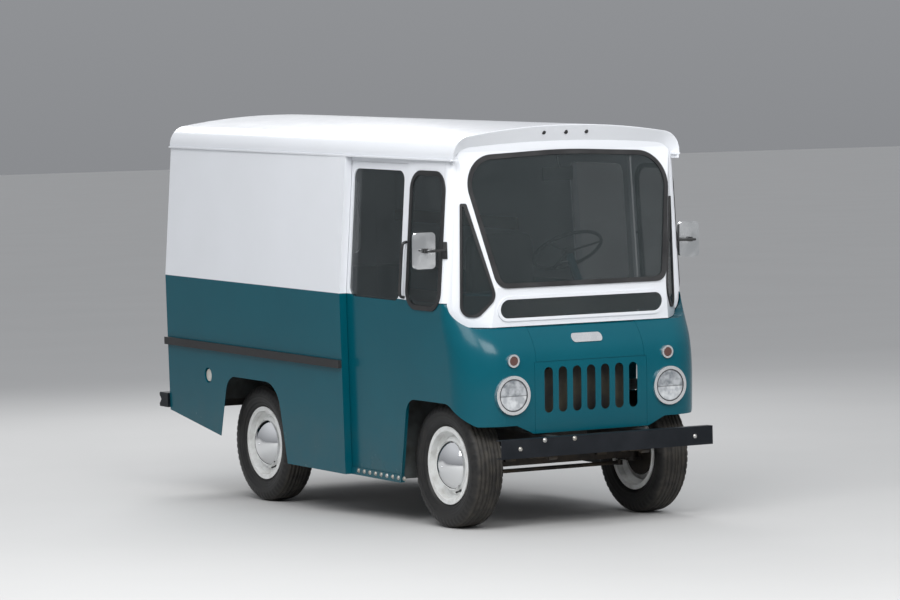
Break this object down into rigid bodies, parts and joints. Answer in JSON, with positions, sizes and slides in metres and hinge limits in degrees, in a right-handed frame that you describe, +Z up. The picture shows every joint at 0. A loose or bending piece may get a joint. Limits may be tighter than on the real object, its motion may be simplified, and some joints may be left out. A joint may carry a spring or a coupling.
{
  "type": "mail delivery truck",
  "caption": "Small box-bodied mail delivery truck with sliding side doors, rounded nose with slotted grille, leaned flat windshield, double rear doors and steerable front wheels.",
  "frame": {"origin": "centre of the footprint of the whole truck, on the ground", "axes": "+Z up, the truck faces -Y, +X is the truck's own left-hand side"},
  "size_m": [1.816, 3.676, 2.221],
  "materials": {
    "black_paint": "satin, a little road dirt",
    "bumper_paint": "satin black",
    "axle_iron": "oily",
    "spring_steel": "dark, dusty",
    "engine_iron": "painted grey, oily",
    "radiator_metal": "painted black",
    "exhaust_steel": "dull, heat stained",
    "tank_steel": "satin",
    "floor_paint": "worn grey",
    "body_paint": "gloss; teal below the belt line, white above",
    "white_paint": "gloss",
    "teal_paint": "gloss",
    "glass": "clear",
    "rubber": "matt",
    "chrome": "polished",
    "lens_glass": "moulded",
    "vinyl": "black vinyl",
    "wood": "varnished",
    "arm_black": "satin",
    "black_plastic": "gloss",
    "fan_paint": "satin",
    "mirror": "chromed back, mirror face",
    "cap_white": "satin",
    "tyre": "matt",
    "rim_paint": "gloss white rim, chrome hubcap"
  },
  "bodies": {
    "truck": {"chassis_frame": "black_paint", "front_bumper": "bumper_paint", "rear_bumper": "bumper_paint", "front_axle": "axle_iron", "rear_axle": "axle_iron", "leaf_springs": "spring_steel", "engine": "engine_iron", "radiator": "radiator_metal", "exhaust": "exhaust_steel", "fuel_tank": "tank_steel", "floor_pan": "floor_paint", "cargo_side_right": "body_paint", "cargo_side_left": "body_paint", "cab_side_right": "body_paint", "cab_side_left": "body_paint", "roof": "white_paint", "rear_frame": "body_paint", "windshield_frame": "white_paint", "nose_shell": "teal_paint", "grille_panel": "teal_paint", "fixed_glass": "glass", "window_gaskets": "rubber", "rub_rails": "rubber", "lamp_rings": "chrome", "lamp_lenses": "lens_glass", "dashboard": "teal_paint", "steering_column": "teal_paint", "seat_base": "black_paint", "seat_cushion": "vinyl", "seat_back": "vinyl", "engine_cover": "floor_paint", "cargo_slats": "wood", "mirror_arms": "arm_black"},
    "door_right": {"sliding_door_right": "body_paint", "door_glass_right": "glass"},
    "door_left": {"sliding_door_left": "body_paint", "door_glass_left": "glass"},
    "rear_leaf_right": {"rear_door_right": "body_paint"},
    "rear_leaf_left": {"rear_door_left": "body_paint"},
    "rear_handle": {"rear_door_handle": "chrome"},
    "lid": {"hood_lid": "teal_paint", "badge_plate": "chrome"},
    "front_wheel_left": {"tyre_front_left": "tyre", "wheel_front_left": "rim_paint"},
    "front_wheel_right": {"tyre_front_right": "tyre", "wheel_front_right": "rim_paint"},
    "rear_wheel_left": {"tyre_rear_left": "tyre", "wheel_rear_left": "rim_paint"},
    "rear_wheel_right": {"tyre_rear_right": "tyre", "wheel_rear_right": "rim_paint"},
    "steering_knuckle_left": {"knuckle_left": "axle_iron"},
    "steering_knuckle_right": {"knuckle_right": "axle_iron"},
    "track_rod": {"tie_rod": "spring_steel"},
    "hand_wheel": {"steering_wheel": "black_plastic"},
    "cooling_fan": {"fan": "fan_paint"},
    "swivel_mirror_left": {"mirror_left": "mirror"},
    "swivel_mirror_right": {"mirror_right": "mirror"},
    "filler_cap": {"fuel_cap": "cap_white"},
    "shift_lever": {"gear_lever": "black_plastic"},
    "prop_shaft": {"driveshaft": "spring_steel"}
  },
  "joints": [
    {"name": "door_right_slide", "type": "slide", "parent": "truck", "child": "door_right", "axis": [0, 0.9997, 0.0262], "range_m": [0, 0.59]},
    {"name": "door_left_slide", "type": "slide", "parent": "truck", "child": "door_left", "axis": [0, 0.9997, 0.0262], "range_m": [0, 0.59]},
    {"name": "rear_leaf_left_hinge", "type": "hinge", "parent": "truck", "child": "rear_leaf_left", "pos_m": [0.645, 1.72029, 1.27868], "axis": [0, 0.0262, -0.9997], "range_deg": [0, 110]},
    {"name": "rear_leaf_right_hinge", "type": "hinge", "parent": "truck", "child": "rear_leaf_right", "pos_m": [-0.645, 1.72029, 1.27868], "axis": [0, -0.0262, 0.9997], "range_deg": [0, 110]},
    {"name": "rear_handle_turn", "type": "hinge", "parent": "rear_leaf_left", "child": "rear_handle", "pos_m": [0.06, 1.71222, 1.12842], "axis": [0, -0.9997, -0.0262], "range_deg": [0, 90]},
    {"name": "lid_hinge", "type": "hinge", "parent": "truck", "child": "lid", "pos_m": [0, -1.59638, 1.07579], "axis": [-1, 0, 0], "range_deg": [0, 60]},
    {"name": "knuckle_left_turn", "type": "hinge", "parent": "truck", "child": "steering_knuckle_left", "pos_m": [0.512, -1.27303, 0.335], "axis": [0, 0, 1], "range_deg": [-25, 25]},
    {"name": "knuckle_right_turn", "type": "hinge", "parent": "truck", "child": "steering_knuckle_right", "pos_m": [-0.512, -1.27303, 0.335], "axis": [0, 0, 1], "range_deg": [-25, 25]},
    {"name": "track_rod_turn", "type": "hinge", "parent": "steering_knuckle_right", "child": "track_rod", "pos_m": [-0.512, -1.15303, 0.2677], "axis": [0, 0, 1], "range_deg": [-25, 25]},
    {"name": "hand_wheel_turn", "type": "hinge", "parent": "truck", "child": "hand_wheel", "pos_m": [0.335, -0.94984, 1.43984], "axis": [0, 0.5373, 0.8434], "range_deg": [-450, 450]},
    {"name": "front_wheel_left_spin", "type": "hinge", "parent": "steering_knuckle_left", "child": "front_wheel_left", "pos_m": [0.59, -1.27303, 0.335], "axis": [1, 0, 0], "continuous": true},
    {"name": "front_wheel_right_spin", "type": "hinge", "parent": "steering_knuckle_right", "child": "front_wheel_right", "pos_m": [-0.59, -1.27303, 0.335], "axis": [1, 0, 0], "continuous": true},
    {"name": "rear_wheel_left_spin", "type": "hinge", "parent": "truck", "child": "rear_wheel_left", "pos_m": [0.59, 0.78397, 0.335], "axis": [1, 0, 0], "continuous": true},
    {"name": "rear_wheel_right_spin", "type": "hinge", "parent": "truck", "child": "rear_wheel_right", "pos_m": [-0.59, 0.78397, 0.335], "axis": [1, 0, 0], "continuous": true},
    {"name": "fan_spin", "type": "hinge", "parent": "truck", "child": "cooling_fan", "pos_m": [0, -1.48894, 0.63445], "axis": [0, 0.9997, 0.0262], "continuous": true},
    {"name": "mirror_left_swivel", "type": "hinge", "parent": "truck", "child": "swivel_mirror_left", "pos_m": [0.843, -1.40931, 1.48983], "axis": [0, -0.0262, 0.9997], "range_deg": [-20, 20]},
    {"name": "mirror_right_swivel", "type": "hinge", "parent": "truck", "child": "swivel_mirror_right", "pos_m": [-0.843, -1.40931, 1.48983], "axis": [0, -0.0262, 0.9997], "range_deg": [-20, 20]},
    {"name": "filler_cap_turn", "type": "hinge", "parent": "truck", "child": "filler_cap", "pos_m": [-0.765, 1.22192, 0.71344], "axis": [1, 0, 0], "range_deg": [0, 90]},
    {"name": "shift_lever_swing", "type": "hinge", "parent": "truck", "child": "shift_lever", "pos_m": [0.06, -0.59861, 0.55703], "axis": [1, 0, 0], "range_deg": [-15, 15]},
    {"name": "prop_shaft_spin", "type": "hinge", "parent": "truck", "child": "prop_shaft", "pos_m": [0, -0.51142, 0.48599], "axis": [0, 0.9917, -0.1289], "continuous": true}
  ],
  "couplings": [
    {"joint": "knuckle_right_turn", "follows": "knuckle_left_turn", "ratio": 1},
    {"joint": "track_rod_turn", "follows": "knuckle_left_turn", "ratio": -1},
    {"joint": "hand_wheel_turn", "follows": "knuckle_left_turn", "ratio": 18}
  ]
}
